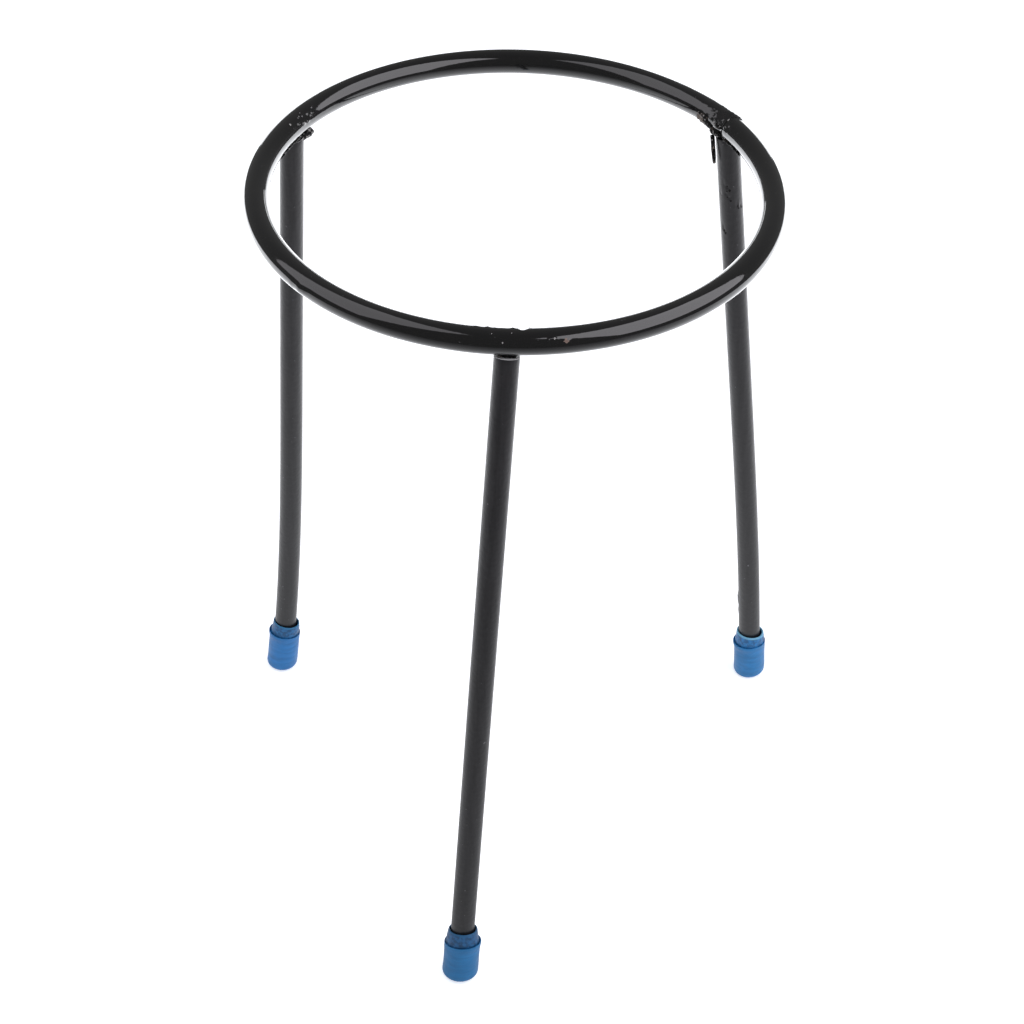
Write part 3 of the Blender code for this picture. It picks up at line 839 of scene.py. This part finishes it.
NUB_END_ANGLE = 153.4
WELD_VOXEL = 0.00012
WELD_SMOOTHINGS = 4
for leg, rows in WELD_LUMPS.items():
    lumps = [make_lump(*row) for row in rows]
    bpy.ops.object.select_all(action="DESELECT")
    for lump in lumps:
        lump.select_set(True)
    bpy.context.view_layer.objects.active = lumps[0]
    bpy.ops.object.join()
    weld = bpy.context.object
    weld.name = f"weld_{leg}_painted"
    fuse = weld.modifiers.new("fused", "REMESH")
    fuse.mode = "VOXEL"
    fuse.voxel_size = WELD_VOXEL
    bpy.ops.object.modifier_apply(modifier=fuse.name)
    relax = weld.modifiers.new("relaxed", "SMOOTH")
    relax.iterations = WELD_SMOOTHINGS
    bpy.ops.object.modifier_apply(modifier=relax.name)
    roughen(weld, 0.30 * MM, 0.9 * MM)
    roughen(weld, 0.18 * MM, 0.4 * MM)
    weld.data.materials.append(weld_paint)
    if leg == "rear_left":
        weld.data.materials.append(spattered_paint)
        for face in weld.data.polygons:
            on_nub = ring_angle_at(face.center) < NUB_END_ANGLE
            face.material_index = 1 if on_nub else 0
    if leg == "rear_right":
        hang_sliver(weld)
    shown(weld, f"weld_{leg}")

# The foot caps are soft blue plastic, pushed on the legs. Each is one moulding: a thin
# collar that widens downwards into a groove, and round the groove the lip of a thicker
# cup with a rounded sole.
CAP_SOLE_THICKNESS = 0.0018
CAP_GROOVE_WIDTH = 0.00018
CAP_GROOVE_DEPTH = 0.0004
CAP_LIP_THICKNESS = 0.00026
CAP_BORE_ROOM = 0.00008
CAP_MOUTH_ROOM = 0.00014
CAP_MOUTH_DEPTHS = (0.0035, 0.0018, 0.0005)
CAP_MOUTH_SPREAD = 0.00004
CAP_COLLAR_CURVE = 0.9
CAP_GROOVE_CORNER = 0.0001
TINY = 0.00002
CAP_LIP_STRAIGHT = 0.0006
CAP_LIP_TURN, CAP_LIP_TURNED = 0.0010, 0.4
CAP_LIP_DROP = 0.0014
CAP_WALL_END = 0.0022
CAP_EDGE_RADIUS = 0.0014
CAP_CROWN_RADIUS = 0.0095
CAP_SPIN_STEPS = 96
CAP_STEPS = 8
# Rim height, lip height, and the radii of the rim, the lip, the wall and its waist.
CAPS = {
    "front": (12.40, 9.20, 2.96, 3.83, 3.69, 3.64),
    "rear_left": (13.25, 10.35, 2.92, 3.62, 3.42, 3.43),
    "rear_right": (12.60, 9.80, 3.08, 3.74, 3.52, 3.49),
}
CAP_SOLE_SPREAD = 0.00027
# How far a cap sits off its leg's middle to the right and its collar still farther, in
# millimetres, how its top rises to the right and to the front, how its rim rises to the
# right besides, and where its collar runs into its lip.
CAP_SET = {
    "front": (0.16, -0.10, 0.09, 0.18, -0.03, 180),
    "rear_left": (0.03, 0.18, -0.03, 0.09, -0.05, 0),
    "rear_right": (0.06, 0.14, 0.00, 0.10, -0.13, 0),
}
# The blue of the cup, of the collar and of the rim. The collar's darker blue and the front cap's
# deeper blue are painted shade, and the rim's lighter blue is a painted highlight.
CAP_BLUES_WITH_PAINTED_LIGHT = {
    "front": ((0.0095, 0.150, 0.375), (0.010, 0.078, 0.200), (0.016, 0.100, 0.230)),
    "rear_left": ((0.017, 0.176, 0.480), (0.012, 0.105, 0.270), (0.030, 0.170, 0.350)),
    "rear_right": ((0.019, 0.185, 0.460), (0.016, 0.140, 0.360), (0.170, 0.440, 0.660)),
}


def arc(middle_x, middle_z, radius, start, end, steps):
    """Points of an arc, in degrees from the outward direction."""
    turns = [math.radians(start + (end - start) * step / steps) for step in range(steps + 1)]
    return [(middle_x + radius * math.cos(turn), middle_z + radius * math.sin(turn))
            for turn in turns]


def cap_section(rim_height, lip_height, rim, lip, wall, waist):
    """Half section of a cap in metres: up the bore, over the rim, down to the sole."""
    bore = LEG_RADIUS + CAP_BORE_ROOM
    lip_round = CAP_LIP_THICKNESS / 2
    lip_inner = lip - CAP_LIP_THICKNESS
    collar_foot = lip_inner - CAP_GROOVE_WIDTH
    groove_floor = lip_height - CAP_GROOVE_DEPTH
    mouth = bore + CAP_MOUTH_ROOM
    rim_round = (rim - mouth) / 2
    low, middle, high = [rim_height - depth for depth in CAP_MOUTH_DEPTHS]
    points = [(0.0, CAP_SOLE_THICKNESS), (bore, CAP_SOLE_THICKNESS), (bore, low),
              (bore + CAP_MOUTH_SPREAD, middle), (mouth, high)]
    points += arc(mouth + rim_round, rim_height - rim_round, rim_round, 180, 12, 7)
    for step in range(1, CAP_STEPS + 1):
        down = step / CAP_STEPS
        points.append((rim + (collar_foot - rim) * down ** CAP_COLLAR_CURVE,
                       rim_height - rim_round + (lip_height - rim_height + rim_round) * down))
    points += [(collar_foot, groove_floor + CAP_GROOVE_CORNER),
               (collar_foot + CAP_GROOVE_CORNER, groove_floor),
               (lip_inner - CAP_GROOVE_CORNER, groove_floor),
               (lip_inner, groove_floor + CAP_GROOVE_CORNER)]
    points += arc(lip_inner + lip_round, lip_height - lip_round, lip_round, 180, 0, 6)
    points += [(lip, lip_height - CAP_LIP_STRAIGHT),
               (lip * (1 - CAP_LIP_TURNED) + wall * CAP_LIP_TURNED, lip_height - CAP_LIP_TURN),
               (wall + TINY, lip_height - CAP_LIP_DROP)]
    for step in range(1, CAP_STEPS):
        down = step / CAP_STEPS
        points.append((wall + (waist - wall) * math.sin(math.pi * down),
                       lip_height - CAP_LIP_DROP
                       + (CAP_WALL_END - lip_height + CAP_LIP_DROP) * down))
    edge_middle = wall - CAP_EDGE_RADIUS
    to_crown = CAP_CROWN_RADIUS - CAP_EDGE_RADIUS
    edge_z = CAP_CROWN_RADIUS - math.sqrt(to_crown ** 2 - edge_middle ** 2)
    meeting = math.degrees(math.asin(edge_middle / to_crown))
    points += arc(edge_middle, edge_z, CAP_EDGE_RADIUS, 0, meeting - 90, 9)
    points += arc(0.0, CAP_CROWN_RADIUS, CAP_CROWN_RADIUS, meeting - 92, -90, 6)
    return points


# How much of a cap's round its collar runs into its lip, how far the groove fills up and
# the lip draws in there, and from which height up the collar and then the top lean over.
MERGE_SPAN = 0.4
GROOVE_FILL, LIP_DRAW = 0.9, 0.8
COLLAR_LEAN_HEIGHT = 0.0015
LEAN_START, LEAN_HEIGHT = 0.0035, 0.005
SPREAD_HEIGHT = 0.003
COLLAR_WALL = 0.0003
RIM_HIGHLIGHT_BAND = 0.0004


def set_askew(cap, leg, rim_height, lip_height, lip, wall):
    """The cap's top leans, and on one side its collar runs into the lip."""
    to_right, lean, right_up, front_up, rim_up, merge_angle = CAP_SET[leg]
    merge = level_direction(merge_angle).xy
    on_collar = cap.data.attributes.new("collar", "FLOAT", "POINT")
    on_rim_highlight = cap.data.attributes.new("rim", "FLOAT", "POINT")
    lip_inner = lip - CAP_LIP_THICKNESS
    for vertex in cap.data.vertices:
        x, y, z = vertex.co
        reach = math.hypot(x, y)
        merged = 0.0
        if reach > LEG_RADIUS:
            merged = clamped(MERGE_SPAN + Vector((x, y)).dot(merge) / reach)
        if reach < lip_inner - TINY and z > lip_height - CAP_GROOVE_DEPTH - TINY:
            on_collar.data[vertex.index].value = 1.0
            on_rim_highlight.data[vertex.index].value = 1.0 if z > rim_height - RIM_HIGHLIGHT_BAND else 0.0
            if z < lip_height - TINY and reach > LEG_RADIUS + COLLAR_WALL:
                z += GROOVE_FILL * merged * (lip_height - z)
            above_lip = clamped((z - lip_height) / COLLAR_LEAN_HEIGHT)
            z += rim_up * x * above_lip
            x += lean * MM * above_lip
        elif reach > wall and z > lip_height - CAP_LIP_DROP:
            x, y = Vector((x, y)) * (1 - LIP_DRAW * merged * (reach - wall) / reach)
        top = clamped((z - LEAN_START) / LEAN_HEIGHT)
        z += top * top * (3 - 2 * top) * (right_up * x - front_up * y)
        spread = max(0.0, 1 - z / SPREAD_HEIGHT) ** 2
        vertex.co = (x + to_right * MM - CAP_SOLE_SPREAD * spread, y, z)


def make_cap(leg, sizes):
    """The half section is drawn point by point and spun round, then set on its leg."""
    rim_height, lip_height, rim, lip, wall, waist = [size * MM for size in sizes]
    section = cap_section(rim_height, lip_height, rim, lip, wall, waist)
    bpy.ops.object.select_all(action="DESELECT")
    bpy.ops.mesh.primitive_plane_add(size=MM)
    cap = bpy.context.object
    cap.name = f"foot_cap_{leg}_blue"
    bpy.ops.object.mode_set(mode="EDIT")
    bpy.ops.mesh.select_mode(type="VERT")
    bpy.ops.mesh.select_all(action="SELECT")
    bpy.ops.mesh.merge(type="CENTER")
    here = (0.0, 0.0)
    for x, z in section:
        step = (x - here[0], 0.0, z - here[1])
        if here == (0.0, 0.0):
            bpy.ops.transform.translate(value=step)
        else:
            bpy.ops.mesh.extrude_vertices_move(TRANSFORM_OT_translate={"value": step})
        here = (x, z)
    bpy.ops.mesh.select_all(action="SELECT")
    bpy.ops.mesh.spin(steps=CAP_SPIN_STEPS, angle=2 * math.pi, center=(0.0, 0.0, 0.0),
                      axis=(0.0, 0.0, 1.0))
    bpy.ops.mesh.select_all(action="SELECT")
    bpy.ops.mesh.remove_doubles(threshold=0.004 * MM)
    bpy.ops.mesh.normals_make_consistent(inside=False)
    bpy.ops.object.mode_set(mode="OBJECT")
    set_askew(cap, leg, rim_height, lip_height, lip, wall)
    turn = UP.rotation_difference(foot_axis(leg))
    cap.data.transform(Matrix.Translation(LEGS[leg][1]) @ turn.to_matrix().to_4x4())
    bpy.ops.object.mode_set(mode="EDIT")
    bpy.ops.mesh.select_all(action="SELECT")
    bpy.ops.mesh.bisect(plane_co=(0.0, 0.0, 0.0), plane_no=(0.0, 0.0, 1.0), use_fill=True,
                        clear_inner=True, threshold=0.001 * MM)
    bpy.ops.object.mode_set(mode="OBJECT")
    return cap


CAP_ROUGHNESS = (0.38, 0.50)
MOTTLE_SPAN = (0.4, 0.6)
BAND_TINTS = (0.86, 1.14)
MOTTLE_TINTS = (0.72, 1.35)


def tints(colour, factors):
    """A colour made darker or lighter by each factor."""
    return [[min(1.0, factor * part) for part in colour] for factor in factors]


def cap_material(leg):
    """Soft plastic with faint bands, the thin collar darker as painted shade and the rim lighter
    as a painted highlight.
    """
    cup, collar, rim = CAP_BLUES_WITH_PAINTED_LIGHT[leg]
    material, tree, surface = finish_material(f"blue_soft_plastic_{leg}", cup, 0.42,
                                              Specular_IOR_Level=0.40)
    where = joined(tree, "ShaderNodeTexCoord")
    on_collar = joined(tree, "ShaderNodeAttribute", attribute_name="collar")
    on_rim_highlight = joined(tree, "ShaderNodeAttribute", attribute_name="rim")
    level = joined(tree, "ShaderNodeMapping", {"Vector": where.outputs["Object"],
                                              "Scale": (0.18, 0.18, 1.0)})
    bands = noise(tree, level.outputs[0], 1100.0, detail=3.0)
    colour = mixed(tree, ranged(tree, bands, NOISE_LOW, NOISE_HIGH), *tints(cup, BAND_TINTS))
    mottle = noise(tree, where.outputs["Object"], 1300.0, detail=3.0)
    shaded_collar = mixed(tree, ranged(tree, mottle, *MOTTLE_SPAN), *tints(collar, MOTTLE_TINTS))
    # The collar's darker blue is painted shade.
    colour = mixed(tree, on_collar.outputs["Fac"], colour, shaded_collar)
    # The rim's lighter blue is a painted highlight.
    colour = mixed(tree, on_rim_highlight.outputs["Fac"], colour, rim)
    tree.links.new(colour, surface.inputs["Base Color"])
    worn = noise(tree, where.outputs["Object"], 500.0)
    gloss = ranged(tree, worn, NOISE_LOW, NOISE_HIGH, *CAP_ROUGHNESS)
    tree.links.new(gloss, surface.inputs["Roughness"])
    skin = placed(tree, GRAIN, Scale=1600.0, Depth=0.00005)
    tree.links.new(skin.outputs[0], surface.inputs["Normal"])
    return material


for leg, sizes in CAPS.items():
    cap = make_cap(leg, sizes)
    cap.data.materials.append(cap_material(leg))
    shown(cap, f"foot_cap_{leg}")
